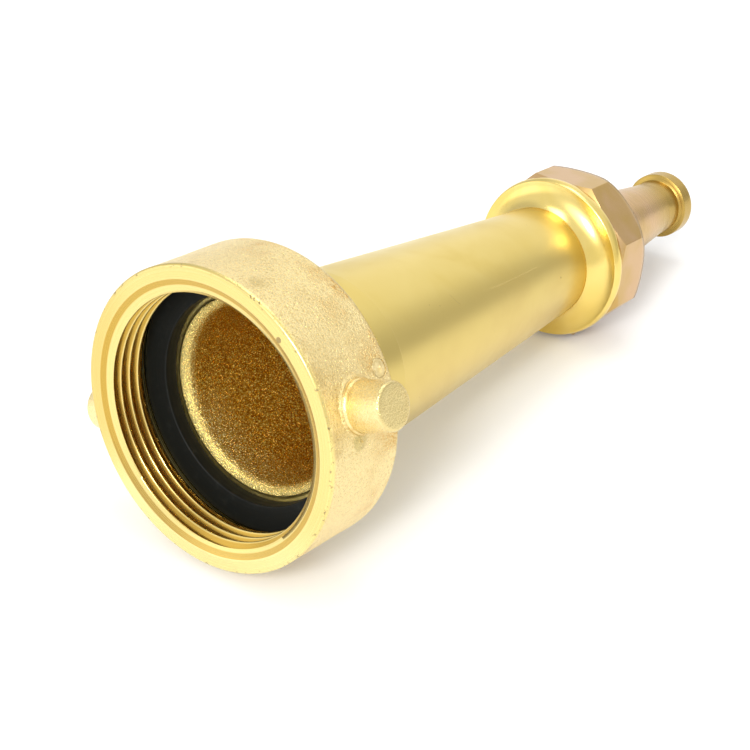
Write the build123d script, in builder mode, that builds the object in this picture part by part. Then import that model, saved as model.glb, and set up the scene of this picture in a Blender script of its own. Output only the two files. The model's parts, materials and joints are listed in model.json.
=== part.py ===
"""Fire hose nozzle: a swivelling inlet coupling, a tapered barrel and a screw-off discharge tip.

The water runs along +Y. The origin is the centre of the mouth face, which looks along -Y, and +Z is up.
"""

from build123d import *
import math
import os

# ---- Inlet coupling and its hose thread (2 1/2 inch, 7.5 threads per inch) ----
coupling_r = 45.5
coupling_length = 29.5
front_rim_round = 0.9
rear_rim_round = 1.4
mouth_chamfer_r = 41.3
mouth_chamfer = 1.1
thread_major_r = 39.16
thread_minor_r = 36.96
thread_pitch = 25.4 / 7.5
thread_crests = 4
first_crest_y = 3.65
thread_root_flat = 0.42
counterbore_y = 2.4
gasket_recess_r = 40.6
gasket_front_y = 17.5
gasket_back_y = 22.3
swivel_bore_r = 38.7
swivel_bore_chamfer = 0.6

# ---- Spanner lugs, cast on the coupling ----
lug_y = 13.7
lug_angle = 70.0
lug_tip_radius = 57.8
lug_root_radius = 43.0
lug_base_r = 7.4
lug_tip_r = 6.9
lug_foot_r = 8.7
lug_foot_height = 2.2
lug_edge = 0.6

# ---- Ball race that holds the coupling on the barrel ----
ball_r = 25.4 * 3 / 16 / 2
ball_count = 48
race_r = 38.55
race_y = 25.4
race_clearance = 0.05
plug_angle = 61.0
plug_hole_r = 2.55
plug_r = 2.5
plug_proud = 0.8
plug_dome = 0.5
plug_stand_off = 0.15

# ---- Gasket ----
gasket_inner_r = 31.9
gasket_outer_r = 40.48
gasket_gap = 0.05
gasket_edge = 0.35

# ---- Barrel, from its tail inside the coupling to its discharge spigot ----
tail_y = 22.3
tail_r = 38.4
tail_back_y = 29.3
tail_edge = 0.5
lip_outer_r = 31.2
lip_top_r = 30.3
lip_top_y = 21.9
lip_bore_y = 25.0
shoulder_r = 29.0
shoulder_start_y = 40.0
shoulder_end_y = 54.5
barrel_step = 0.4
barrel_end_y = 171.4
barrel_end_r = 19.7
cove_sag = -1.5
flange_front_y = 176.8
flange_front_r = 27.9
flange_r = 28.6
flange_r_y = 179.5
flange_back_r = 28.3
flange_back_y = 180.8
spigot_r = 20.95
spigot_relief_r = 19.9
spigot_relief_length = 2.0
spigot_end_y = 192.9
spigot_edge = 0.8
waterway_inlet_r = 27.3
waterway_outlet_r = 14.0

# ---- Discharge tip: octagonal base, tapered tube, bead ----
tip_front_y = 181.0
tip_base_back_y = 199.6
tip_flat_r = 27.7
tip_sides = 8
tip_corner_trim = 0.25
tip_front_ring_r = 27.4
tip_front_slope = math.tan(math.radians(30))
tip_dome_corner_y = 194.7
tip_dome_middle = (27.6, 197.4)
tip_dome_top_r = 21.5
socket_r = 21.3
socket_end_y = 194.6
tube_root_r = 15.85
tube_neck_r = 10.25
tube_neck_y = 249.0
bead_start_y = 256.0
bead_face_length = 0.8
bead_r = 12.4
bead_round = 0.7
tip_end_y = 262.7
orifice_r = 25.4 * 5 / 8 / 2
orifice_start_y = 246.0
orifice_edge = 0.5

# ---- Washer at the bottom of the tip's socket ----
washer_inner_r = 14.4
washer_outer_r = 20.9
washer_thickness = 1.6

os.makedirs("parts", exist_ok=True)


def finish(piece, label):
    """Names a finished piece and writes it to its own STEP file."""
    piece.label = label
    export_step(piece, f"parts/{label}.step")


def lug_plane(angle):
    """A plane on the axis whose y direction points out along a lug; angle is from +Z towards +X."""
    out = (math.sin(math.radians(angle)), 0, math.cos(math.radians(angle)))
    return Plane(origin=(0, lug_y, 0), x_dir=(0, 1, 0), z_dir=Vector(0, 1, 0).cross(Vector(*out)))


# ---- Swivel coupling ----
# The thread is a set of rings with flat crests at the minor radius, the same section as the real helix.
groove_half_root = thread_root_flat / 2
groove_half_mouth = groove_half_root + (thread_major_r - thread_minor_r) * math.tan(math.radians(30))
crest_half = thread_pitch / 2 - groove_half_mouth
thread_start_y = first_crest_y - crest_half
thread_end_y = first_crest_y + (thread_crests - 1) * thread_pitch + crest_half

with BuildPart() as swivel_coupling:
    with BuildSketch(Plane.XY) as shell_section:
        with BuildLine():
            Polyline(
                (mouth_chamfer_r, 0),
                (coupling_r, 0),
                (coupling_r, coupling_length),
                (swivel_bore_r + swivel_bore_chamfer, coupling_length),
                (swivel_bore_r, coupling_length - swivel_bore_chamfer),
                (swivel_bore_r, gasket_back_y),
                (gasket_recess_r, gasket_back_y),
                (gasket_recess_r, thread_end_y),
                (thread_minor_r, thread_end_y),
                (thread_minor_r, thread_start_y),
                (thread_major_r + 0.24, counterbore_y),
                (thread_major_r + 0.24, mouth_chamfer),
                close=True,
            )
        make_face()
        fillet(shell_section.vertices().group_by(Axis.X)[-1].sort_by(Axis.Y)[0], front_rim_round)
        fillet(shell_section.vertices().group_by(Axis.X)[-1].sort_by(Axis.Y)[-1], rear_rim_round)
        for turn in range(thread_crests - 1):
            groove_y = first_crest_y + (turn + 0.5) * thread_pitch
            with BuildLine():
                Polyline(
                    (thread_minor_r - 1, groove_y - groove_half_mouth),
                    (thread_minor_r, groove_y - groove_half_mouth),
                    (thread_major_r, groove_y - groove_half_root),
                    (thread_major_r, groove_y + groove_half_root),
                    (thread_minor_r, groove_y + groove_half_mouth),
                    (thread_minor_r - 1, groove_y + groove_half_mouth),
                    close=True,
                )
            make_face(mode=Mode.SUBTRACT)
        with Locations((race_r, race_y)):
            Circle(ball_r + race_clearance, mode=Mode.SUBTRACT)
    revolve(axis=Axis.Y)
    for side in (0, 180):
        # The lug's axis is the sketch's y axis, so its section is turned about a line out along the lug.
        out = lug_plane(lug_angle + side)
        with BuildSketch(out):
            with BuildLine():
                foot = lug_root_radius + lug_foot_height
                Polyline(
                    (0, lug_root_radius),
                    (lug_foot_r, lug_root_radius),
                    (lug_foot_r, foot - 1.4),
                )
                RadiusArc((lug_foot_r, foot - 1.4), (lug_base_r, foot + 1.6), 3.2)
                Polyline(
                    (lug_base_r, foot + 1.6),
                    (lug_tip_r, lug_tip_radius - lug_edge),
                    (lug_tip_r - lug_edge, lug_tip_radius),
                    (0, lug_tip_radius),
                    (0, lug_root_radius),
                )
            make_face()
        revolve(axis=Axis(out.origin, out.y_dir))
    plug_out = Vector(math.sin(math.radians(plug_angle)), 0, math.cos(math.radians(plug_angle)))
    plug_seat = Plane(origin=(0, race_y, 0) + plug_out * race_r, z_dir=plug_out)
    with BuildSketch(plug_seat):
        Circle(plug_hole_r)
    extrude(amount=coupling_r - race_r + plug_proud, mode=Mode.SUBTRACT)
finish(swivel_coupling.part, "swivel_coupling")

# ---- Ball fill plug ----
with BuildPart() as ball_fill_plug:
    plug_foot = ball_r + race_clearance + plug_stand_off
    plug_height = coupling_r + plug_proud - race_r - plug_foot
    with BuildSketch(plug_seat.offset(plug_foot)):
        Circle(plug_r)
    extrude(amount=plug_height)
    fillet(ball_fill_plug.edges().sort_by(Axis(plug_seat.origin, plug_seat.z_dir))[-1], plug_dome)
finish(ball_fill_plug.part, "ball_fill_plug")

# ---- Swivel balls ----
for number in range(ball_count):
    turn = 2 * math.pi * number / ball_count
    with BuildPart(Plane(origin=(race_r * math.sin(turn), race_y, race_r * math.cos(turn)))) as ball:
        Sphere(ball_r)
    finish(ball.part, f"swivel_ball_{number + 1:02d}")

# ---- Inlet gasket ----
with BuildPart() as inlet_gasket:
    with BuildSketch(Plane.XY) as gasket_section:
        with BuildLine():
            Polyline(
                (gasket_inner_r, gasket_front_y + gasket_gap),
                (gasket_outer_r, gasket_front_y + gasket_gap),
                (gasket_outer_r, gasket_back_y - gasket_gap),
                (gasket_inner_r, gasket_back_y - gasket_gap),
                close=True,
            )
        make_face()
        fillet(gasket_section.vertices(), gasket_edge)
    revolve(axis=Axis.Y)
finish(inlet_gasket.part, "inlet_gasket")

# ---- Barrel ----
with BuildPart() as barrel:
    with BuildSketch(Plane.XY):
        with BuildLine():
            Polyline(
                (waterway_inlet_r, lip_bore_y),
                (waterway_outlet_r, spigot_end_y),
                (spigot_r - spigot_edge, spigot_end_y),
                (spigot_r, spigot_end_y - spigot_edge),
                (spigot_r, flange_back_y + spigot_relief_length),
                (spigot_relief_r, flange_back_y + spigot_relief_length),
                (spigot_relief_r, flange_back_y),
                (flange_back_r, flange_back_y),
            )
            ThreePointArc(
                (flange_back_r, flange_back_y),
                (flange_r, flange_r_y),
                (flange_front_r, flange_front_y),
            )
            SagittaArc((flange_front_r, flange_front_y), (barrel_end_r, barrel_end_y), cove_sag)
            Polyline(
                (barrel_end_r, barrel_end_y),
                (shoulder_r - barrel_step, shoulder_end_y + barrel_step),
                (shoulder_r, shoulder_end_y),
                (shoulder_r, shoulder_start_y),
            )
            TangentArc(
                (shoulder_r, shoulder_start_y),
                (tail_r - tail_edge, tail_back_y),
                tangent=(0, -1),
            )
            Polyline(
                (tail_r - tail_edge, tail_back_y),
                (tail_r, tail_back_y - tail_edge),
                (tail_r, tail_y + tail_edge),
                (tail_r - tail_edge, tail_y),
                (lip_outer_r, tail_y),
                (lip_top_r, lip_top_y),
            )
            TangentArc((lip_top_r, lip_top_y), (waterway_inlet_r, lip_bore_y), tangent=(-1, 0))
        make_face()
        with Locations((race_r, race_y)):
            Circle(ball_r + race_clearance, mode=Mode.SUBTRACT)
    revolve(axis=Axis.Y)
finish(barrel.part, "barrel")

# ---- Washer in the tip's socket ----
with BuildPart() as tip_washer:
    with BuildSketch(Plane.XZ.offset(washer_thickness - socket_end_y)):
        Circle(washer_outer_r)
        Circle(washer_inner_r, mode=Mode.SUBTRACT)
    extrude(amount=-washer_thickness)
finish(tip_washer.part, "tip_washer")

# ---- Discharge tip ----
corner_r = tip_flat_r / math.cos(math.pi / tip_sides)
envelope_r = corner_r - tip_corner_trim
with BuildPart() as discharge_tip:
    with BuildSketch(Plane.XZ.offset(-tip_front_y)):
        RegularPolygon(tip_flat_r, tip_sides, major_radius=False, rotation=180 / tip_sides)
    extrude(amount=tip_front_y - tip_base_back_y)
    # The octagon is trimmed by a turned envelope: chamfered corners in front, a low dome behind.
    with BuildSketch(Plane.XY):
        with BuildLine():
            Polyline(
                (0, tip_front_y),
                (tip_front_ring_r, tip_front_y),
                (envelope_r, tip_front_y + (envelope_r - tip_front_ring_r) * tip_front_slope),
                (envelope_r, tip_dome_corner_y),
            )
            ThreePointArc(
                (envelope_r, tip_dome_corner_y),
                tip_dome_middle,
                (tip_dome_top_r, tip_base_back_y),
            )
            Polyline((tip_dome_top_r, tip_base_back_y), (0, tip_base_back_y), (0, tip_front_y))
        make_face()
    revolve(axis=Axis.Y, mode=Mode.INTERSECT)
    with BuildSketch(Plane.XY) as tube_section:
        with BuildLine():
            Polyline(
                (0, socket_end_y),
                (tube_root_r, socket_end_y),
                (tube_root_r, tip_base_back_y),
                (tube_neck_r, tube_neck_y),
                (tube_neck_r, bead_start_y),
                (bead_r, bead_start_y + bead_face_length),
                (bead_r, tip_end_y - bead_round),
                (bead_r - bead_round, tip_end_y),
                (0, tip_end_y),
                close=True,
            )
        make_face()
    revolve(axis=Axis.Y)
    with BuildSketch(Plane.XY):
        with BuildLine():
            Polyline(
                (0, tip_front_y),
                (socket_r, tip_front_y),
                (socket_r, socket_end_y),
                (waterway_outlet_r, socket_end_y),
                (orifice_r, orifice_start_y),
                (orifice_r, tip_end_y - orifice_edge),
                (orifice_r + orifice_edge, tip_end_y),
                (0, tip_end_y),
                close=True,
            )
        make_face()
    revolve(axis=Axis.Y, mode=Mode.SUBTRACT)
finish(discharge_tip.part, "discharge_tip")
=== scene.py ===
"""Looks of a brass fire hose nozzle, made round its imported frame.

The waterway runs along +Y from the mouth face at y = 0. Outlines are in millimetres, as (radius, y),
and meshes are in metres. Angles round the waterway start at +Z and turn towards +X.
"""

import json
import math

import bmesh
import bpy
from mathutils import Matrix, Vector


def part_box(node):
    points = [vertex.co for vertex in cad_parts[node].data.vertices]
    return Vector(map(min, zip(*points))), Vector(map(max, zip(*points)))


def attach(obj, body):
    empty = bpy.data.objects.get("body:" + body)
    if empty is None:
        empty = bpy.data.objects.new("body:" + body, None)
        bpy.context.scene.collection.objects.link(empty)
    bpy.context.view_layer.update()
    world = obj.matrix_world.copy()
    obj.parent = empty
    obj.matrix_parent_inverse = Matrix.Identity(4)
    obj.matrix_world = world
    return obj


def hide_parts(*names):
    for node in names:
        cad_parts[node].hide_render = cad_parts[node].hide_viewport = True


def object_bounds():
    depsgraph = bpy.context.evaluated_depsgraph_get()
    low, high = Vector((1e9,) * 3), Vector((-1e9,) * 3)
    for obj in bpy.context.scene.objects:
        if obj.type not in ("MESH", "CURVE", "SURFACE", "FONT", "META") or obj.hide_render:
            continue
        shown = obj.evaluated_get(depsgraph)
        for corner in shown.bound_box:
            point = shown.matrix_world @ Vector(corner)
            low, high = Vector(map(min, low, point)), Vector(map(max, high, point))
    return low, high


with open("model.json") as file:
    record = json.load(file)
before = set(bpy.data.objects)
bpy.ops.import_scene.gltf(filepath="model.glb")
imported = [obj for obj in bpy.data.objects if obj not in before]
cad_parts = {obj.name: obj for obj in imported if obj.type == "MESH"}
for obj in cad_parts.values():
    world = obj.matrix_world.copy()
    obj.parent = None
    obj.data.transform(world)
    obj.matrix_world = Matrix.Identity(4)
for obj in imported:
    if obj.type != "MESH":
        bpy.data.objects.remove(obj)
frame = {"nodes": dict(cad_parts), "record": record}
cad_low, cad_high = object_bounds()

MM = 0.001
mounts = {mount["name"]: mount for mount in frame["record"]["mounts"]}


def extent(node):
    """A node's lowest and highest corner, in millimetres."""
    low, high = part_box(node)
    return low / MM, high / MM


# ---- Camera ----
CAMERA_PLACE = (0.2775, -0.3052, 0.2154)
CAMERA_AZIMUTH = math.radians(35.86)
CAMERA_DROP = math.radians(25.67)
CAMERA_ROLL = math.radians(4.16)
CAMERA_LENS = 80.24
CAMERA_SENSOR = 36.0


def make_camera():
    data = bpy.data.cameras.new("camera")
    data.lens = CAMERA_LENS
    data.sensor_width = CAMERA_SENSOR
    data.clip_start = 0.01
    data.clip_end = 20.0
    camera = bpy.data.objects.new("camera", data)
    bpy.context.scene.collection.objects.link(camera)
    turn = Matrix.Rotation(CAMERA_AZIMUTH, 4, "Z") @ Matrix.Rotation(math.pi / 2 - CAMERA_DROP, 4, "X")
    roll = Matrix.Rotation(CAMERA_ROLL, 4, "Z")
    camera.matrix_world = Matrix.Translation(CAMERA_PLACE) @ turn @ roll
    bpy.context.scene.camera = camera


# ---- Outlines ----
def corner(radius, y, fillet=0.0, cuts=1):
    """One corner of an outline. cuts is how many equal parts the run that ends here is cut into."""
    return (radius, y, fillet, cuts)


def bow(start, stop, rise, steps):
    """Corners along an arc after start, up to and with stop. rise is its height to the left of the chord."""
    a, b = Vector(start), Vector(stop)
    chord = b - a
    half = chord.length / 2
    radius = (half * half + rise * rise) / (2 * abs(rise))
    left = Vector((-chord.y, chord.x)).normalized() * math.copysign(1, rise)
    centre = (a + b) / 2 + left * (abs(rise) - radius)
    first = math.atan2(a.y - centre.y, a.x - centre.x)
    sweep = 2 * math.asin(min(1, half / radius)) * -math.copysign(1, rise)
    made = []
    for step in range(1, steps + 1):
        angle = first + sweep * step / steps
        made.append(corner(centre.x + radius * math.cos(angle), centre.y + radius * math.sin(angle)))
    return made


def rounded(corners, steps=4):
    """The closed outline through these corners, with fillets as arcs and runs cut into equal parts."""
    stretches = []
    for index, (radius, y, fillet, _) in enumerate(corners):
        here = Vector((radius, y))
        if not fillet:
            stretches.append([here])
            continue
        back = (Vector(corners[index - 1][:2]) - here).normalized()
        ahead = (Vector(corners[(index + 1) % len(corners)][:2]) - here).normalized()
        half = math.acos(max(-1, min(1, back.dot(ahead)))) / 2
        centre = here + (back + ahead).normalized() * fillet / math.sin(half)
        first = here + back * fillet / math.tan(half) - centre
        last = here + ahead * fillet / math.tan(half) - centre
        sweep = math.atan2(first.x * last.y - first.y * last.x, first.dot(last))
        arc = []
        for step in range(steps + 1):
            angle = math.atan2(first.y, first.x) + sweep * step / steps
            arc.append(centre + Vector((math.cos(angle), math.sin(angle))) * fillet)
        stretches.append(arc)
    outline = []
    for index, stretch in enumerate(stretches):
        cuts = corners[index][3]
        before = stretches[index - 1][-1]
        outline += [before.lerp(stretch[0], cut / cuts) for cut in range(1, cuts)]
        outline += stretch
    return outline


# ---- Meshes ----
def even_angles(count):
    return [2 * math.pi * step / count for step in range(count)]


def turned(name, outline_at, angles):
    """A closed piece made by carrying an outline round the Y axis. outline_at(angle) gives its points."""
    rings = [outline_at(angle) for angle in angles]
    length = len(rings[0])
    points = []
    for angle, ring in zip(angles, rings):
        points += [(p.x * math.sin(angle) * MM, p.y * MM, p.x * math.cos(angle) * MM) for p in ring]
    faces = []
    for i in range(len(angles)):
        near, far = i * length, (i + 1) % len(angles) * length
        for j in range(length):
            k = (j + 1) % length
            faces.append((near + j, near + k, far + k, far + j))
    mesh = bpy.data.meshes.new(name)
    mesh.from_pydata(points, [], faces)
    piece = bpy.data.objects.new(name, mesh)
    bpy.context.scene.collection.objects.link(piece)
    close(piece)
    return piece


def close(piece):
    """Merges doubled points, turns the faces outwards and shades them smooth."""
    work = bmesh.new()
    work.from_mesh(piece.data)
    bmesh.ops.remove_doubles(work, verts=work.verts, dist=1e-7)
    bmesh.ops.recalc_face_normals(work, faces=work.faces)
    for face in work.faces:
        face.smooth = True
    work.to_mesh(piece.data)
    work.free()


def settle(piece):
    """Turns what a piece's modifiers make into its own mesh, and removes them."""
    graph = bpy.context.evaluated_depsgraph_get()
    made = bpy.data.meshes.new_from_object(piece.evaluated_get(graph), depsgraph=graph)
    piece.modifiers.clear()
    piece.data = made
    made.name = piece.name


def cut_with(piece, tool, operation):
    """Joins a closed tool to a piece or takes it away, and drops the tool."""
    modifier = piece.modifiers.new("join", "BOOLEAN")
    modifier.operation = operation
    modifier.solver = "EXACT"
    modifier.object = tool
    settle(piece)
    bpy.data.objects.remove(tool)


def even_shading(piece):
    """Lets each large face keep its own direction, so that edges look rounded and faces look flat."""
    modifier = piece.modifiers.new("shading", "WEIGHTED_NORMAL")
    modifier.weight = 80
    settle(piece)


def paint(piece, name, rule):
    """Stores rule(point in millimetres, its radius) on every point, as an attribute."""
    layer = piece.data.attributes.new(name, "FLOAT", "POINT")
    values = []
    for vertex in piece.data.vertices:
        point = vertex.co / MM
        values.append(rule(point, math.hypot(point.x, point.z)))
    layer.data.foreach_set("value", values)


def ramp(value, low, high):
    """0 up to low, 1 from high, and straight in between."""
    return max(0.0, min(1.0, (value - low) / (high - low)))


def pointing(direction, origin):
    """The matrix that carries the Y axis onto a direction, from an origin in millimetres."""
    turn = Vector((0, 1, 0)).rotation_difference(Vector(direction)).to_matrix().to_4x4()
    return Matrix.Translation(Vector(origin) * MM) @ turn


# ---- Node trees ----
class Graph:
    """A node tree under construction."""

    def __init__(self, tree):
        self.tree = tree
        tree.nodes.clear()

    def node(self, kind, inputs=None, **settings):
        made = self.tree.nodes.new(kind)
        for name, value in settings.items():
            setattr(made, name, value)
        for name, value in (inputs or {}).items():
            self.give(made.inputs[name], value)
        return made

    def give(self, socket, value):
        if isinstance(value, bpy.types.NodeSocket):
            self.tree.links.new(value, socket)
        else:
            socket.default_value = value

    def math(self, operation, *values, clamp=False):
        made = self.node("ShaderNodeMath", operation=operation, use_clamp=clamp)
        for socket, value in zip(made.inputs, values):
            self.give(socket, value)
        return made.outputs[0]

    def product(self, first, *others):
        for other in others:
            first = self.math("MULTIPLY", first, other)
        return first

    def remap(self, value, low, high, to_low=0.0, to_high=1.0):
        """value, carried from low..high to to_low..to_high and held there."""
        made = self.node("ShaderNodeMapRange", clamp=True, interpolation_type="SMOOTHSTEP")
        for name, given in zip(("Value", "From Min", "From Max", "To Min", "To Max"),
                               (value, low, high, to_low, to_high)):
            self.give(made.inputs[name], given)
        return made.outputs[0]

    def noise(self, vector, scale, detail=2.0, roughness=0.5, seed=0.0, distortion=0.0):
        made = self.node("ShaderNodeTexNoise", noise_dimensions="4D")
        settings = {"Vector": vector, "W": seed, "Scale": scale, "Detail": detail,
                    "Roughness": roughness, "Distortion": distortion}
        for name, given in settings.items():
            self.give(made.inputs[name], given)
        return made.outputs[0]

    def mix(self, share, first, second):
        """A colour between two."""
        made = self.node("ShaderNodeMix", data_type="RGBA")
        for index, given in ((0, share), (6, first), (7, second)):
            self.give(made.inputs[index], given)
        return made.outputs[2]


class Recipe(Graph):
    """A Geometry Nodes tree with named inputs, which ends in Realize Instances and Set Material."""

    def __init__(self, name, sizes):
        super().__init__(bpy.data.node_groups.new(name, "GeometryNodeTree"))
        face = self.tree.interface
        face.new_socket("Geometry", in_out="INPUT", socket_type="NodeSocketGeometry")
        face.new_socket("Geometry", in_out="OUTPUT", socket_type="NodeSocketGeometry")
        for label, value in sizes.items():
            face.new_socket(label, in_out="INPUT", socket_type="NodeSocketFloat").default_value = value
        face.new_socket("Material", in_out="INPUT", socket_type="NodeSocketMaterial")
        self.given = self.node("NodeGroupInput").outputs
        place = self.node("GeometryNodeInputPosition").outputs[0]
        self.place = place
        self.x, self.y, self.z = self.node("ShaderNodeSeparateXYZ", {"Vector": place}).outputs
        squares = self.math("ADD", self.product(self.x, self.x), self.product(self.z, self.z))
        self.radius = self.math("SQRT", squares)

    def move(self, selection, direction, distance):
        """Moves the selected points along a direction, and ends the tree."""
        offset = self.node("ShaderNodeVectorMath", {0: direction}, operation="SCALE")
        self.give(offset.inputs["Scale"], distance)
        moved = self.node("GeometryNodeSetPosition", {"Geometry": self.given["Geometry"],
                                                      "Selection": selection, "Offset": offset.outputs[0]})
        whole = self.node("GeometryNodeRealizeInstances", {"Geometry": moved.outputs[0]})
        finished = self.node("GeometryNodeSetMaterial", {"Geometry": whole.outputs[0],
                                                         "Material": self.given["Material"]})
        self.node("NodeGroupOutput", {"Geometry": finished.outputs[0]})

    def run(self, piece, material, **sizes):
        """Shapes a piece with the tree, and keeps the result as its mesh."""
        modifier = piece.modifiers.new(self.tree.name, "NODES")
        modifier.node_group = self.tree
        given = dict(sizes, Material=material)
        for item in self.tree.interface.items_tree:
            label = item.name.replace(" ", "_")
            if item.in_out == "INPUT" and label in given:
                modifier[item.identifier] = given[label]
        settle(piece)


def thread_recipe():
    """Cuts a helical groove, with flat crests and roots and 60 degree flanks, into a plain bore."""
    sizes = {"Pitch": 0.0034, "Minor radius": 0.037, "Depth": 0.0022, "Root flat": 0.0004,
             "Start": 0.0034, "End": 0.0175, "Phase": 0.0}
    made = Recipe("hose_thread", sizes)
    given = made.given
    turns = made.math("DIVIDE", made.math("ARCTAN2", made.x, made.z), 2 * math.pi)
    along = made.math("DIVIDE", made.math("SUBTRACT", made.y, given["Start"]), given["Pitch"])
    phase = made.math("FRACT", made.math("SUBTRACT", made.math("SUBTRACT", along, turns), given["Phase"]))
    off_root = made.math("ABSOLUTE", made.math("SUBTRACT", phase, 0.5))
    off_centre = made.product(off_root, given["Pitch"])
    from_root = made.math("SUBTRACT", off_centre, made.product(given["Root flat"], 0.5))
    rise = made.math("DIVIDE", made.math("MAXIMUM", from_root, 0.0), math.tan(math.radians(30)))
    depth = made.math("MAXIMUM", made.math("SUBTRACT", given["Depth"], rise), 0.0)
    crest_ahead = made.math("GREATER_THAN", phase, 0.5)
    to_crest = made.product(made.math("SUBTRACT", crest_ahead, phase), given["Pitch"])
    past_last = made.math("SUBTRACT", made.math("ADD", made.y, to_crest), given["End"])
    run_out = made.product(made.remap(past_last, -0.0006, 0.0), given["Depth"])
    depth = made.math("MAXIMUM", depth, run_out)
    across = made.node("ShaderNodeCombineXYZ", {"X": made.x, "Z": made.z}).outputs[0]
    outward = made.node("ShaderNodeVectorMath", {0: across}, operation="NORMALIZE").outputs[0]
    edge = made.math("ADD", given["Minor radius"], 0.00002)
    in_bore = made.math("LESS_THAN", made.radius, edge)
    before_end = made.math("LESS_THAN", made.y, made.math("ADD", given["End"], 0.00001))
    made.move(made.product(in_bore, before_end), outward, depth)
    return made


def cast_recipe():
    """Sinks a sand-cast skin into what its attribute marks: broad unevenness, then sand grain."""
    sizes = {"Lump size": 0.006, "Lump depth": 0.0002, "Grain size": 0.001, "Grain depth": 0.00008,
             "Seed": 0.0}
    made = Recipe("cast_skin", sizes)
    given = made.given
    cast = made.node("GeometryNodeInputNamedAttribute", {"Name": "cast"}, data_type="FLOAT").outputs[0]
    sunk = None
    for label in ("Lump", "Grain"):
        scale = made.math("DIVIDE", 1.0, given[label + " size"])
        bump = made.noise(made.place, scale, seed=given["Seed"])
        depth = made.product(made.math("SUBTRACT", bump, 1.0), given[label + " depth"])
        sunk = depth if sunk is None else made.math("ADD", sunk, depth)
    normal = made.node("GeometryNodeInputNormal").outputs[0]
    made.move(True, normal, made.product(sunk, cast))
    return made


# ---- Materials ----
class Finish(Graph):
    """A material under construction, on object coordinates, with one Principled shader."""

    def __init__(self, name):
        self.material = bpy.data.materials.new(name)
        self.material.use_nodes = True
        super().__init__(self.material.node_tree)
        self.place = self.node("ShaderNodeTexCoord").outputs["Object"]
        self.x, self.y, self.z = self.node("ShaderNodeSeparateXYZ", {"Vector": self.place}).outputs
        across = self.node("ShaderNodeCombineXYZ", {"X": self.x, "Z": self.z}).outputs[0]
        self.radius = self.node("ShaderNodeVectorMath", {0: across}, operation="LENGTH").outputs["Value"]
        self.angle = self.math("ARCTAN2", self.x, self.z)
        self.shader = self.node("ShaderNodeBsdfPrincipled")
        output = self.node("ShaderNodeOutputMaterial")
        self.tree.links.new(self.shader.outputs[0], output.inputs[0])
        self.last_bump = None

    def distance(self, place):
        """How far each point is from a place in metres."""
        made = self.node("ShaderNodeVectorMath", {0: self.place, 1: place}, operation="DISTANCE")
        return made.outputs["Value"]

    def attribute(self, name):
        return self.node("ShaderNodeAttribute", attribute_name=name).outputs["Fac"]

    def rings(self, scale, detail=3.0, seed=0.0, waver=0.0004):
        """Noise that runs round the waterway, as a turning tool leaves it."""
        swirl = self.product(self.noise(self.place, 40.0, seed=seed + 5), waver)
        flat = self.node("ShaderNodeCombineXYZ", {"X": self.math("ADD", self.radius, swirl),
                                                  "Y": self.math("ADD", self.y, swirl)})
        return self.noise(flat.outputs[0], scale, detail=detail, roughness=0.65, seed=seed)

    def bump(self, height, strength, distance):
        """Adds a bump layer over the ones before it. distance is in millimetres."""
        sizes = {"Height": height, "Strength": strength, "Distance": distance * MM}
        made = self.node("ShaderNodeBump", sizes)
        if self.last_bump is not None:
            self.give(made.inputs["Normal"], self.last_bump)
        self.last_bump = made.outputs[0]

    def scratch(self, start, stop, width, bend):
        """A fine scratch between two places on the barrel, each (y in mm, angle in degrees)."""
        along = self.math("DIVIDE", self.math("SUBTRACT", self.y, start[0] * MM), (stop[0] - start[0]) * MM)
        straight = self.math("MULTIPLY_ADD", along, math.radians(stop[1] - start[1]), math.radians(start[1]))
        curve = self.product(self.math("SINE", self.product(along, math.pi)), 0.02 * bend)
        away = self.math("ABSOLUTE", self.math("SUBTRACT", self.angle, self.math("ADD", straight, curve)))
        middle = self.math("ABSOLUTE", self.math("SUBTRACT", along, 0.5))
        sides = self.remap(away, 0.0, width, 0.8, 0.0)
        ends = self.remap(middle, 0.35, 0.5, 1.0, 0.0)
        return self.product(sides, ends)

    def set(self, **sockets):
        for name, value in sockets.items():
            self.give(self.shader.inputs[name.replace("_", " ")], value)

    def done(self):
        if self.last_bump is not None:
            self.give(self.shader.inputs["Normal"], self.last_bump)
        return self.material


def colour(red, green, blue):
    return (red, green, blue, 1.0)


# Marks on the coupling, in metres: the painted shade on the lump below a lug, and the knock on the mouth's
# face.
LUMP_PLACE = (0.0451, 0.0120, 0.0066)
KNOCK_PLACE = (0.0252, 0.0, 0.0335)


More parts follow.
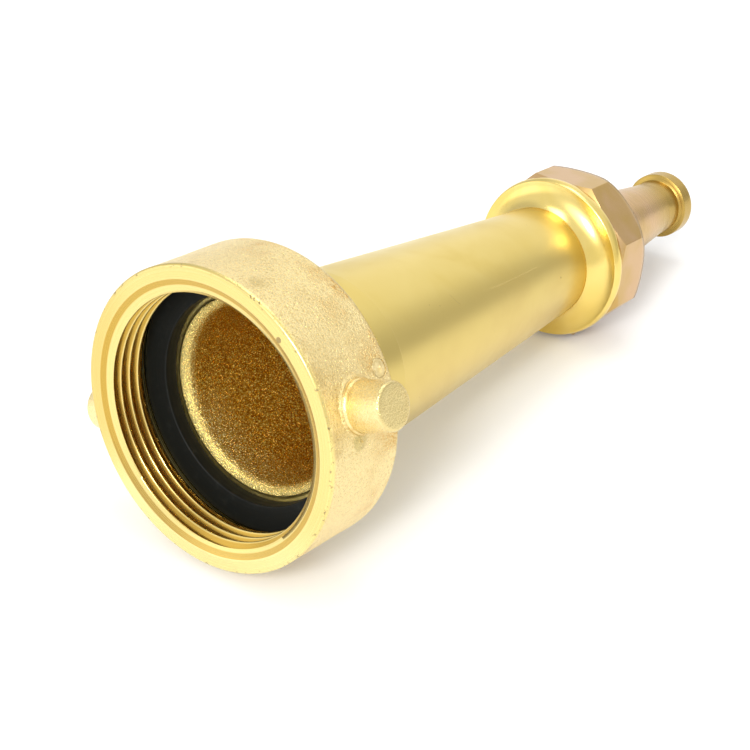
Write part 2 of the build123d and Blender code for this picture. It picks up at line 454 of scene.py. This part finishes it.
def cast_colour(made, grain, patches, on_body):
    """The cast skin: rusty to the rear, stained to the front, dark in its dimples, with painted shade round
    the lug feet, on the lug ends and on the lump below a lug.
    """
    rear = made.remap(made.y, 0.010, 0.029)
    rust = made.product(made.remap(patches, 0.46, 0.62), rear, made.remap(grain, 0.42, 0.58))
    skin = made.mix(rust, colour(0.93, 0.76, 0.38), colour(0.70, 0.40, 0.09))
    dimple = made.product(made.remap(grain, 0.38, 0.50, 0.45, 0.0), on_body)
    skin = made.mix(dimple, skin, colour(0.62, 0.40, 0.10))
    stain = made.product(made.remap(patches, 0.50, 0.68), made.remap(made.y, 0.016, 0.004))
    skin = made.mix(made.product(stain, 0.55), skin, colour(0.60, 0.43, 0.15))
    # Painted shade: the lump below the lug is coloured darker, as if it lay in its own shade.
    lump = made.remap(made.distance(LUMP_PLACE), 0.0022, 0.0034, 0.60, 0.0)
    # Painted shade: the end faces of the lugs are coloured darker than their sides.
    lug_end_shade = made.remap(made.radius, 0.0566, 0.0574, 0.0, 0.5)
    skin = made.mix(made.math("MAXIMUM", lump, lug_end_shade), skin, colour(0.58, 0.46, 0.17))
    # Painted shade, in patches, in the band round each lug's foot where it meets the shell.
    foot_shade = made.product(made.remap(made.radius, 0.0459, 0.0463), made.remap(made.radius, 0.0485, 0.0472))
    foot_shade = made.product(foot_shade, made.remap(patches, 0.46, 0.60, 0.1, 0.6))
    return made.mix(foot_shade, skin, colour(0.60, 0.38, 0.09))


def machined_colour(made, lines):
    """The machined face and thread: lighter low down on the face, with painted shade at the face's left, in
    the thread's grooves and on the front chamfer.
    """
    brass = made.mix(made.remap(lines, 0.30, 0.70), colour(0.81, 0.64, 0.23), colour(0.86, 0.70, 0.28))
    face = made.remap(made.y, 0.0009, 0.0007)
    # The face is coloured lighter towards its bottom.
    lighter_below = made.product(face, made.remap(made.z, -0.012, -0.036, 0.0, 0.75))
    brass = made.mix(lighter_below, brass, colour(0.97, 0.86, 0.40))
    # Painted shade: the left of the face is coloured darker, standing in for a darker reflection there.
    painted_shade_left = made.product(face, made.remap(made.x, -0.026, -0.042, 0.0, 0.40))
    brass = made.mix(painted_shade_left, brass, colour(0.66, 0.46, 0.11))
    # Painted shade in the thread's grooves and on the front chamfer.
    groove = made.product(made.remap(made.radius, 0.0370, 0.0375), made.remap(made.y, 0.0012, 0.0018))
    chamfer = made.product(made.remap(made.y, 0.00004, 0.0001), made.remap(made.y, 0.0010, 0.0009))
    chamfer = made.product(chamfer, made.remap(made.radius, 0.0413, 0.0412))
    chamfer = made.product(chamfer, made.remap(made.radius, 0.0392, 0.0396))
    painted_shade = made.math("MAXIMUM", made.product(groove, 0.85), made.product(chamfer, 0.75))
    painted_shade = made.product(painted_shade, made.remap(made.y, 0.0150, 0.0140))
    return made.mix(painted_shade, brass, colour(0.50, 0.29, 0.03))


def coupling_nicks(made, grain):
    """Small nicks along the mouth's rim, and one knock on its face."""
    rim = made.product(made.remap(made.radius, 0.0442, 0.0450), made.remap(made.y, 0.0010, 0.0004))
    specks = made.noise(made.place, 700.0, detail=3.0, roughness=0.7, seed=15.0)
    nicks = made.remap(specks, 0.57, 0.63)
    ragged = made.math("ADD", made.distance(KNOCK_PLACE), made.product(grain, 0.0006))
    knock = made.remap(ragged, 0.0010, 0.0013, 1.0, 0.0)
    return made.math("MAXIMUM", made.product(nicks, rim), knock)


def coupling_finish():
    """Pale sand-cast brass outside, machined face and thread."""
    made = Finish("cast_brass")
    cast = made.attribute("cast")
    grain = made.noise(made.place, 1500.0, detail=3.0, roughness=0.6)
    sparkle = made.noise(made.place, 3400.0, detail=2.0, seed=3.0)
    patches = made.noise(made.place, 70.0, detail=4.0, roughness=0.6, seed=7.0)
    lines = made.rings(2600.0, seed=2.0)
    on_body = made.remap(made.radius, 0.0459, 0.0462, 1.0, 0.35)
    nicks = coupling_nicks(made, grain)
    machined = machined_colour(made, lines)
    machined = made.mix(made.product(nicks, 0.75), machined, colour(0.26, 0.17, 0.08))
    skin = cast_colour(made, grain, patches, on_body)
    made.set(Base_Color=made.mix(cast, machined, skin), Metallic=1.0)
    on_lug = made.remap(made.radius, 0.0459, 0.0470, 0.0, 0.10)
    cast_rough = made.math("SUBTRACT", made.remap(sparkle, 0.3, 0.7, 0.22, 0.42), on_lug)
    machined_rough = made.remap(lines, 0.3, 0.7, 0.22, 0.30)
    made.set(Roughness=made.node("ShaderNodeMix", {0: cast, 2: machined_rough, 3: cast_rough}).outputs[0])
    made.bump(lines, 0.15, 0.02)
    made.bump(made.product(nicks, -1.0), 0.6, 0.15)
    depth = made.product(made.remap(patches, 0.35, 0.65, 0.5, 1.0), on_body)
    made.bump(made.product(grain, depth, cast), 1.0, 0.80)
    made.bump(made.product(sparkle, on_body, cast), 1.0, 0.26)
    return made.done()


def barrel_finish():
    """Satin barrel, polished cove and flange, rough-cast waterway."""
    made = Finish("turned_brass")
    cast = made.attribute("cast")
    polish = made.attribute("polish")
    grain = made.noise(made.place, 1300.0, detail=3.0, roughness=0.6, seed=1.0)
    sparkle = made.noise(made.place, 2800.0, detail=2.0, seed=4.0)
    lines = made.rings(1800.0, seed=6.0, waver=0.002)
    smudge = made.noise(made.place, 38.0, detail=3.0, roughness=0.55, seed=9.0, distortion=0.6)
    satin = made.mix(made.remap(smudge, 0.35, 0.65), colour(0.76, 0.585, 0.17), colour(0.89, 0.71, 0.255))
    bright = made.mix(made.remap(smudge, 0.35, 0.65), colour(0.84, 0.63, 0.17), colour(0.90, 0.71, 0.25))
    # Painted shade: a band down the barrel's +X side is coloured darker, as if that side lay in shade.
    flank = made.product(made.remap(made.angle, 0.55, 1.25), made.remap(made.angle, 2.7, 1.9))
    satin = made.mix(made.product(flank, 0.90), satin, colour(0.64, 0.48, 0.16))
    # Painted shade, in patches, behind y = 41 mm, which leaves the band next to the coupling lighter.
    painted_shade_behind = made.remap(smudge, 0.40, 0.60, 0.15, 0.45)
    painted_shade_behind = made.product(made.remap(made.y, 0.0405, 0.0425), painted_shade_behind)
    satin = made.mix(painted_shade_behind, satin, colour(0.70, 0.55, 0.17))
    outside = made.mix(polish, satin, bright)
    inside = made.mix(made.remap(grain, 0.38, 0.60), colour(0.64, 0.32, 0.015), colour(0.93, 0.62, 0.12))
    # Painted light: the low wall of the waterway near the inlet is coloured lighter, like light falling into
    # the mouth.
    painted_light_low = made.remap(made.z, -0.004, -0.022, 0.0, 0.6)
    painted_light_low = made.product(made.remap(made.y, 0.040, 0.026), painted_light_low)
    # Painted highlight on the inlet lip, joined with the painted light low in the waterway.
    lip = made.math("MAXIMUM", painted_light_low, made.remap(made.y, 0.0262, 0.0243, 0.0, 0.9))
    inside = made.mix(lip, inside, colour(1.0, 0.82, 0.30))
    pits = made.node("ShaderNodeTexVoronoi", {"Vector": made.place, "Scale": 150.0, "Randomness": 1.0})
    patchy = made.remap(made.noise(made.place, 60.0, seed=12.0), 0.50, 0.58)
    pit = made.product(made.remap(pits.outputs["Distance"], 0.03, 0.075, 1.0, 0.0), patchy)
    long_scratch = made.scratch((108, 54.5), (142.5, 55.2), 0.006, 0.5)
    curl = made.scratch((88.3, 44.8), (91.5, 55.5), 0.008, 1.0)
    pit = made.math("MAXIMUM", pit, made.math("MAXIMUM", long_scratch, curl))
    pit = made.product(pit, made.math("SUBTRACT", 1.0, polish))
    outside = made.mix(made.product(pit, 0.6), outside, colour(0.30, 0.20, 0.07))
    made.set(Base_Color=made.mix(cast, outside, inside), Metallic=1.0)
    satin_rough = made.remap(smudge, 0.3, 0.7, 0.36, 0.28)
    outer_rough = made.node("ShaderNodeMix", {0: polish, 2: satin_rough, 3: 0.22}).outputs[0]
    inner_rough = made.remap(sparkle, 0.3, 0.7, 0.12, 0.30)
    made.set(Roughness=made.node("ShaderNodeMix", {0: cast, 2: outer_rough, 3: inner_rough}).outputs[0])
    made.bump(lines, 0.18, 0.02)
    made.bump(made.product(pit, -1.0), 0.6, 0.15)
    made.bump(smudge, 0.25, 0.5)
    grainy = made.math("SUBTRACT", cast, made.product(lip, 0.5))
    made.bump(made.product(grain, grainy), 1.0, 0.75)
    made.bump(made.product(sparkle, cast), 1.0, 0.42)
    return made.done()


def tip_finish():
    """Pinkish turned bronze, yellower towards the bead."""
    made = Finish("bronze")
    lines = made.rings(2200.0, seed=11.0)
    smudge = made.noise(made.place, 45.0, detail=3.0, seed=13.0)
    bronze = made.mix(made.remap(smudge, 0.38, 0.60), colour(0.565, 0.375, 0.13), colour(0.625, 0.415, 0.225))
    neck = made.remap(made.y, 0.228, 0.250)
    made.set(Base_Color=made.mix(neck, bronze, colour(0.51, 0.345, 0.09)), Metallic=1.0)
    turned_part = made.remap(made.y, 0.199, 0.201)
    turning = made.product(made.remap(lines, 0.3, 0.7), turned_part)
    made.set(Roughness=made.math("MULTIPLY_ADD", turning, 0.12, 0.22))
    made.bump(made.product(lines, turned_part), 0.3, 0.02)
    made.bump(smudge, 0.2, 0.3)
    return made.done()


def rubber_finish(name, seed):
    """Smooth moulded black rubber with faint dust and scuffs."""
    made = Finish(name)
    dust = made.noise(made.place, 260.0, detail=5.0, roughness=0.7, seed=seed)
    scuff = made.rings(900.0, seed=seed + 1, waver=0.001)
    made.set(Base_Color=made.mix(made.remap(dust, 0.5, 0.8), colour(0.007, 0.008, 0.007),
                                 colour(0.018, 0.020, 0.017)))
    made.set(Roughness=made.remap(scuff, 0.3, 0.7, 0.50, 0.65), Specular_IOR_Level=0.2)
    made.bump(dust, 0.15, 0.05)
    return made.done()


def plug_finish():
    """A peened brass plug, bright where the hammer met it."""
    made = Finish("plug_brass")
    dents = made.noise(made.place, 900.0, detail=2.0, seed=20.0)
    brass = made.mix(made.remap(dents, 0.4, 0.6), colour(0.84, 0.66, 0.30), colour(0.95, 0.79, 0.43))
    made.set(Base_Color=brass, Metallic=1.0, Roughness=made.remap(dents, 0.3, 0.7, 0.34, 0.50))
    made.bump(dents, 1.0, 0.45)
    return made.done()


def ball_finish():
    """Polished steel with a trace of grease."""
    made = Finish("ball_steel")
    grease = made.noise(made.place, 500.0, detail=2.0, seed=23.0)
    steel = made.mix(made.remap(grease, 0.4, 0.7), colour(0.62, 0.62, 0.64), colour(0.42, 0.38, 0.30))
    made.set(Base_Color=steel, Metallic=1.0, Roughness=made.remap(grease, 0.3, 0.7, 0.08, 0.25))
    return made.done()


# ---- Coupling ----
COLUMNS = 320
gasket_low, gasket_high = extent("inlet_gasket")
coupling_high = extent("swivel_coupling")[1]
coupling_r = coupling_high.z
thread_r = mounts["inlet_thread"]["dims"]["r_mm"]
thread_length = mounts["inlet_thread"]["dims"]["length_mm"]
thread_start = mounts["inlet_thread"]["pos_m"][1] / MM - thread_length / 2
thread_end = thread_start + thread_length
thread_pitch = 25.4 / 7.5
thread_depth = 2.2
root_flat = 0.42
thread_phase = 0.60
bevel_start, bevel_end = 0.85, 1.25
counterbore_r = thread_r + thread_depth + 0.24
front_round = 0.9
rear_round = 1.4
race_r, race_y, race_groove = 38.55, 25.4, 2.43
swivel_bore_r = 38.7
recess_r = gasket_high.x + 0.12
recess_back = gasket_high.y + 0.05


def coupling_outline():
    groove_half = math.sqrt(race_groove ** 2 - (swivel_bore_r - race_r) ** 2)
    groove = bow((swivel_bore_r, race_y + groove_half), (swivel_bore_r, race_y - groove_half),
                 race_groove - swivel_bore_r + race_r, 10)
    return rounded([
        corner(41.3, 0.0, 0.15, 1),
        corner(coupling_r, 0.0, front_round, 4),
        corner(coupling_r, coupling_high.y, rear_round, 30),
        corner(swivel_bore_r + 0.6, coupling_high.y, 0.1, 4),
        corner(swivel_bore_r, coupling_high.y - 0.6, 0.1, 1),
        corner(swivel_bore_r, race_y + groove_half),
        *groove,
        corner(swivel_bore_r, recess_back),
        corner(recess_r, recess_back, 0.1, 1),
        corner(recess_r, thread_end, 0.1, 4),
        corner(thread_r, thread_end, 0.0, 3),
        corner(thread_r, bevel_end, 0.0, 116),
        corner(counterbore_r, bevel_start, 0.0, 2),
    ])


# ---- Lugs ----
lug_y = mounts["lug_right"]["pos_m"][1] / MM
lug_tip = Vector(mounts["lug_right"]["pos_m"]).xz.length / MM
LUG_ROOT = 43.2
LUG_BASE_R = 7.35
LUG_TIP_R = 6.9
LUG_RING_R = 8.0
LUG_EDGE = 1.15
BLOB_ANGLE, BLOB_Y = 81.6, 12.0
PLUG_HOLE_R = 2.55


def lug_outline():
    return rounded([
        corner(0.0, LUG_ROOT),
        corner(LUG_RING_R + 1.4, LUG_ROOT, 0, 4),
        corner(LUG_RING_R + 1.1, coupling_r - 1.2, 0.0, 1),
        corner(LUG_RING_R, coupling_r + 0.15, 1.0, 1),
        corner(LUG_RING_R - 0.15, coupling_r + 1.0, 0.35, 1),
        corner(LUG_BASE_R + 0.1, coupling_r + 1.5, 0.5, 1),
        corner(LUG_TIP_R, lug_tip, LUG_EDGE, 10),
        corner(0.0, lug_tip, 0, 8),
    ])


def round_direction(degrees):
    """Out from the waterway, at an angle from +Z towards +X."""
    return Vector((math.sin(math.radians(degrees)), 0, math.cos(math.radians(degrees))))


def blob_outline():
    """A low lump where the mould leaked beside a lug."""
    return rounded([
        corner(0.0, LUG_ROOT),
        corner(3.0, LUG_ROOT, 0.0, 2),
        corner(2.6, coupling_r - 0.1, 0.5, 2),
        *bow((2.3, coupling_r + 0.1), (0.0, coupling_r + 1.5), 0.5, 8),
    ])


def cast_mark(point, radius):
    """1 on the coupling's cast skin and its lugs, and 0 where it is machined."""
    if radius > coupling_r + 0.05:
        return 1.0
    outside = ramp(radius, coupling_r - 0.25, coupling_r - 0.1)
    behind_face = ramp(point.y, 0.8, 1.2)
    before_rear = 1 - ramp(point.y, coupling_high.y - 1.0, coupling_high.y - 0.4)
    return outside * behind_face * before_rear


def make_coupling(material, thread, skin):
    piece = turned("coupling", lambda angle, made=coupling_outline(): made, even_angles(COLUMNS))
    for name in ("lug_right", "lug_left"):
        lug = turned(name, lambda angle, made=lug_outline(): made, even_angles(72))
        lug.data.transform(pointing(mounts[name]["axis"], (0, lug_y, 0)))
        close(lug)
        cut_with(piece, lug, "UNION")
    blob = turned("blob", lambda angle, made=blob_outline(): made, even_angles(40))
    blob.data.transform(Matrix.Diagonal((1.0, 1.0, 1.5, 1.0)))
    blob.data.transform(pointing(round_direction(BLOB_ANGLE), (0, BLOB_Y, 0)))
    close(blob)
    cut_with(piece, blob, "UNION")
    hole_outline = rounded([corner(0.0, race_r), corner(PLUG_HOLE_R, race_r),
                            corner(PLUG_HOLE_R, coupling_r + 1), corner(0.0, coupling_r + 1)])
    hole = turned("plug_hole", lambda angle: hole_outline, even_angles(40))
    hole.data.transform(pointing(plug_direction(), (0, race_y, 0)))
    close(hole)
    cut_with(piece, hole, "DIFFERENCE")
    thread.run(piece, material, Pitch=thread_pitch * MM, Minor_radius=thread_r * MM, Depth=thread_depth * MM,
               Root_flat=root_flat * MM, Start=thread_start * MM, End=thread_end * MM, Phase=thread_phase)
    paint(piece, "cast", cast_mark)
    skin.run(piece, material, Lump_size=6 * MM, Lump_depth=0.22 * MM, Grain_size=1.1 * MM,
             Grain_depth=0.10 * MM, Seed=2.0)
    even_shading(piece)
    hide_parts("swivel_coupling")
    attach(piece, "coupling")


# ---- Ball fill plug ----
def plug_direction():
    """Out along the plug, from its node's box."""
    low, high = extent("ball_fill_plug")
    middle = (low + high) / 2
    return Vector((middle.x, 0, middle.z)).normalized()


def make_plug(material):
    foot = race_r + race_groove + 0.15
    outline = rounded([
        corner(0.0, foot),
        corner(2.5, foot, 0.1, 3),
        corner(2.5, coupling_r - 0.35, 0.0, 3),
        corner(3.0, coupling_r - 0.15, 0.15, 1),
        *bow((3.0, coupling_r - 0.15), (0.0, coupling_r + 0.55), 0.28, 9),
    ])
    piece = turned("fill_plug", lambda angle: outline, even_angles(48))
    for vertex in piece.data.vertices:
        point = vertex.co / MM
        dent = 0.22 * math.sin(point.x * 2.3 + 1.0) * math.cos(point.z * 1.9 + 0.4)
        vertex.co.y += dent * ramp(point.y, coupling_r - 0.1, coupling_r + 0.3) * MM
    piece.data.transform(pointing(plug_direction(), (0, race_y, 0)))
    close(piece)
    piece.data.materials.append(material)
    even_shading(piece)
    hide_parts("ball_fill_plug")
    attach(piece, "coupling")


# ---- Gasket ----
gasket_inner_r = 31.9


def make_gasket(material):
    outline = rounded([
        corner(gasket_inner_r, gasket_low.y, 0.45, 4),
        corner(gasket_high.x, gasket_low.y, 0.35, 6),
        corner(gasket_high.x, gasket_high.y, 0.35, 4),
        corner(gasket_inner_r, gasket_high.y, 0.45, 6),
    ])
    piece = turned("gasket", lambda angle: outline, even_angles(200))
    piece.data.materials.append(material)
    even_shading(piece)
    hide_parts("inlet_gasket")
    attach(piece, "coupling")


# ---- Barrel ----
barrel_low, barrel_high = extent("barrel")
tail_r = barrel_high.x
tail_y = 22.3
tail_back_y = 29.3
lip_outer_r, lip_top_r, lip_bore_y = 31.2, 30.3, 25.0
shoulder_r, shoulder_start, shoulder_end = 29.0, 40.0, 54.5
barrel_end_r, barrel_end_y = 19.7, 171.4
flange_front_r, flange_front_y = 27.9, 176.8
flange_back_r, flange_back_y = 28.3, 180.8
flange_rise, cove_drop, shoulder_drop, lip_rise = 0.49, 1.5, 2.5, 0.9
spigot_r = 20.95
inlet_r, outlet_r = 27.3, 14.0


def barrel_outline():
    groove_half = math.sqrt(race_groove ** 2 - (race_r - tail_r) ** 2)
    groove = bow((tail_r, race_y + groove_half), (tail_r, race_y - groove_half),
                 tail_r - race_r - race_groove, 10)
    return rounded([
        corner(inlet_r, lip_bore_y),
        corner(outlet_r, barrel_high.y, 0.1, 90),
        corner(spigot_r, barrel_high.y, 0.7, 4),
        corner(spigot_r, flange_back_y + 2.0, 0.1, 4),
        corner(spigot_r - 1.05, flange_back_y + 2.0, 0.1, 1),
        corner(spigot_r - 1.05, flange_back_y, 0.1, 1),
        corner(flange_back_r, flange_back_y, 0.2, 4),
        *bow((flange_back_r, flange_back_y), (flange_front_r, flange_front_y), flange_rise, 8),
        *bow((flange_front_r, flange_front_y), (barrel_end_r, barrel_end_y), -cove_drop, 28),
        corner(shoulder_r - 0.4, shoulder_end + 0.4, 0.25, 64),
        corner(shoulder_r, shoulder_end, 0.3, 1),
        corner(shoulder_r, shoulder_start, 0.0, 12),
        *bow((shoulder_r, shoulder_start), (tail_r - 0.5, tail_back_y), -shoulder_drop, 16),
        corner(tail_r, tail_back_y - 0.5),
        corner(tail_r, race_y + groove_half),
        *groove,
        corner(tail_r, tail_y, 0.4, 2),
        corner(lip_outer_r, tail_y, 0.15, 6),
        corner(lip_top_r, barrel_low.y, 0.1, 2),
        *bow((lip_top_r, barrel_low.y), (inlet_r, lip_bore_y), lip_rise, 12),
    ])


def make_barrel(material, skin):
    outline = barrel_outline()
    piece = turned("barrel_body", lambda angle: outline, even_angles(288))

    def cast_bore(point, radius):
        wall = inlet_r + (outlet_r - inlet_r) * (point.y - lip_bore_y) / (barrel_high.y - lip_bore_y)
        lip = 1.0 if point.y < lip_bore_y + 0.01 and radius < lip_top_r + 0.4 else 0.0
        return max(lip, 1 - ramp(radius, wall + 0.1, wall + 0.3)) * (1 - ramp(point.y, 188, 191))

    def polished(point, radius):
        return ramp(point.y, barrel_end_y - 0.6, barrel_end_y + 0.4)

    paint(piece, "cast", cast_bore)
    paint(piece, "polish", polished)
    skin.run(piece, material, Lump_size=5 * MM, Lump_depth=0.3 * MM, Grain_size=1.3 * MM,
             Grain_depth=0.14 * MM, Seed=5.0)
    even_shading(piece)
    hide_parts("barrel")
    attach(piece, "barrel")


# ---- Discharge tip ----
tip_low, tip_high = extent("discharge_tip")
tip_flat_r = tip_high.z
TIP_SIDES = 8
TIP_EDGE_ROUND = 0.45
base_back_y = 199.6
front_ring_r, front_slope = 27.4, math.tan(math.radians(30))
dome_top_r = 21.5
dome_centre, dome_r = (21.675, 190.529), 9.073
socket_r, socket_end = 21.3, 194.6
tube_root_r, neck_r, neck_y = 15.85, 10.25, 249.0
bead_y, bead_r = 256.0, 12.4
orifice_r = mounts["jet_orifice"]["dims"]["r_mm"]
orifice_y = 246.0


def octagon_radius(angle):
    """How far out the octagon's side is, with its upright edges slightly rounded."""
    side = 2 * math.pi / TIP_SIDES
    off_flat = (angle + side / 2) % side - side / 2
    touch = math.atan((tip_flat_r - TIP_EDGE_ROUND) * math.tan(side / 2) / tip_flat_r)
    if abs(off_flat) <= touch:
        return tip_flat_r / math.cos(off_flat)
    off_corner = side / 2 - abs(off_flat)
    centre = (tip_flat_r - TIP_EDGE_ROUND) / math.cos(side / 2)
    aside = centre * math.sin(off_corner)
    return centre * math.cos(off_corner) + math.sqrt(TIP_EDGE_ROUND ** 2 - aside ** 2)


def octagon_angles():
    """Angles round the octagon: even over each flat, and close together over each rounded edge."""
    side = 2 * math.pi / TIP_SIDES
    touch = math.atan((tip_flat_r - TIP_EDGE_ROUND) * math.tan(side / 2) / tip_flat_r)
    angles = []
    for flat in range(TIP_SIDES):
        angles += [flat * side + touch * (step / 12 - 1) for step in range(25)]
        angles += [flat * side + touch + (side - 2 * touch) * step / 5 for step in range(1, 5)]
    return angles


def dome_y(radius):
    """Where the low dome behind the octagon is, at this radius."""
    return dome_centre[1] + math.sqrt(dome_r ** 2 - (radius - dome_centre[0]) ** 2)


def dome_rise(radius):
    """How far the dome stands above its chord from this radius to its top."""
    half = math.hypot(radius - dome_top_r, dome_y(radius) - base_back_y) / 2
    return dome_r - math.sqrt(dome_r ** 2 - half ** 2)


def tip_outline(angle):
    out = octagon_radius(angle)
    return rounded([
        corner(socket_r, tip_low.y, 0.2, 2),
        corner(front_ring_r, tip_low.y, 0.15, 3),
        corner(out, tip_low.y + (out - front_ring_r) * front_slope, 0.12, 1),
        corner(out, dome_y(out), 0.0, 8),
        *bow((out, dome_y(out)), (dome_top_r, base_back_y), dome_rise(out), 10),
        corner(tube_root_r, base_back_y, 1.2, 6),
        corner(neck_r, neck_y, 12.0, 30),
        corner(neck_r, bead_y, 0.3, 4),
        corner(bead_r, bead_y + 0.8, 0.25, 2),
        corner(bead_r, tip_high.y, 0.8, 4),
        corner(orifice_r + 0.5, tip_high.y, 0.15, 2),
        corner(orifice_r, tip_high.y - 0.5, 0.1, 1),
        corner(orifice_r, orifice_y, 0.0, 8),
        corner(outlet_r, socket_end, 0.1, 24),
        corner(socket_r, socket_end, 0.1, 3),
    ])


def make_tip(material):
    piece = turned("tip_body", tip_outline, octagon_angles())
    piece.data.materials.append(material)
    even_shading(piece)
    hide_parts("discharge_tip")
    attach(piece, "tip")


def finish_hidden_nodes(steel, rubber):
    """The balls and the washer keep their own shapes."""
    for name, node in frame["nodes"].items():
        if name.startswith("swivel_ball") or name == "tip_washer":
            node.data.materials.clear()
            node.data.materials.append(rubber if name == "tip_washer" else steel)


# ---- Studio ----
def make_floor():
    """A pale floor that touches the coupling's rear edge and the flat under the tip's base."""
    coupling_touch = Vector((0, coupling_high.y - rear_round, -coupling_r))
    base_touch = Vector((0, dome_y(tip_flat_r), -tip_flat_r))
    slope = (base_touch - coupling_touch).normalized()
    down = Vector((0, slope.z, -slope.y))
    lowest = coupling_touch + down * 0.25
    mesh = bpy.data.meshes.new("floor")
    across = Vector((1, 0, 0))
    reach = 1500
    middle = lowest + slope * 100
    sides = ((-1, -1), (1, -1), (1, 1), (-1, 1))
    points = [(middle + across * reach * i + slope * reach * j) * MM for i, j in sides]
    mesh.from_pydata(points, [], [(0, 1, 2, 3)])
    floor = bpy.data.objects.new("floor", mesh)
    bpy.context.scene.collection.objects.link(floor)
    made = Finish("floor_paper")
    tint = made.noise(made.place, 6.0)
    made.set(Base_Color=made.mix(tint, colour(0.89, 0.885, 0.875), colour(0.90, 0.895, 0.89)), Roughness=0.9,
             Specular_IOR_Level=0.1, Emission_Color=colour(0.55, 0.72, 1.0), Emission_Strength=0.08)
    mesh.materials.append(made.done())


# Patches of the light tent: where each lies, the cosine at its edge, and how much it adds to the level.
TENT_LEVEL = 0.92
TENT_PATCHES = (
    ((0.62, 0.76, 0.05), 0.78, -0.30),
    ((-0.84, 0.33, 0.43), 0.80, -0.28),
    ((-0.62, 0.78, 0.05), 0.80, 0.20),
    ((-0.15, 0.82, 0.55), 0.85, 0.15),
    ((-0.70, -0.71, 0.05), 0.92, 0.80),
    ((0.20, -0.78, 0.58), 0.88, 1.60),
)


def make_world():
    """White to the camera, and an uneven tent of light to what the metal mirrors."""
    world = bpy.data.worlds.new("studio")
    bpy.context.scene.world = world
    world.use_nodes = True
    made = Graph(world.node_tree)
    direction = made.node("ShaderNodeTexCoord").outputs["Generated"]
    level = TENT_LEVEL
    for aim, edge, gain in TENT_PATCHES:
        facing = made.node("ShaderNodeVectorMath", {0: direction, 1: Vector(aim).normalized()},
                           operation="DOT_PRODUCT").outputs["Value"]
        level = made.math("ADD", level, made.remap(facing, edge, 1.0, 0.0, gain))
    seen = made.node("ShaderNodeLightPath").outputs["Is Camera Ray"]
    glow = made.node("ShaderNodeBackground", {"Color": colour(1.0, 0.99, 0.97), "Strength": level})
    white = made.node("ShaderNodeBackground", {"Color": colour(1, 1, 1), "Strength": 1.1})
    both = made.node("ShaderNodeMixShader", {0: seen, 1: glow.outputs[0], 2: white.outputs[0]})
    made.node("ShaderNodeOutputWorld", {"Surface": both.outputs[0]})


def make_light(name, place, target, size, power, tint=(1, 1, 1)):
    data = bpy.data.lights.new(name, "AREA")
    data.shape = "RECTANGLE"
    data.size, data.size_y = size
    data.energy = power
    data.color = tint
    light = bpy.data.objects.new(name, data)
    bpy.context.scene.collection.objects.link(light)
    aim = (Vector(target) - Vector(place)).to_track_quat("-Z", "Y")
    light.matrix_world = Matrix.Translation(place) @ aim.to_matrix().to_4x4()


def make_studio():
    make_floor()
    make_world()
    middle = (cad_low + cad_high) / 2
    make_light("key", (-0.10, 0.20, 0.90), middle, (0.45, 0.45), 1.9)
    make_light("front", (0.30, -0.70, 0.45), (0, 0.05, 0), (0.20, 0.20), 3.6)
    view = bpy.context.scene.view_settings
    view.view_transform = "Standard"
    view.look = "None"


make_camera()
make_studio()
brass = coupling_finish()
skin = cast_recipe()
make_coupling(brass, thread_recipe(), skin)
make_plug(plug_finish())
make_gasket(rubber_finish("gasket_rubber", 30.0))
make_barrel(barrel_finish(), skin)
make_tip(tip_finish())
finish_hidden_nodes(ball_finish(), rubber_finish("washer_rubber", 40.0))
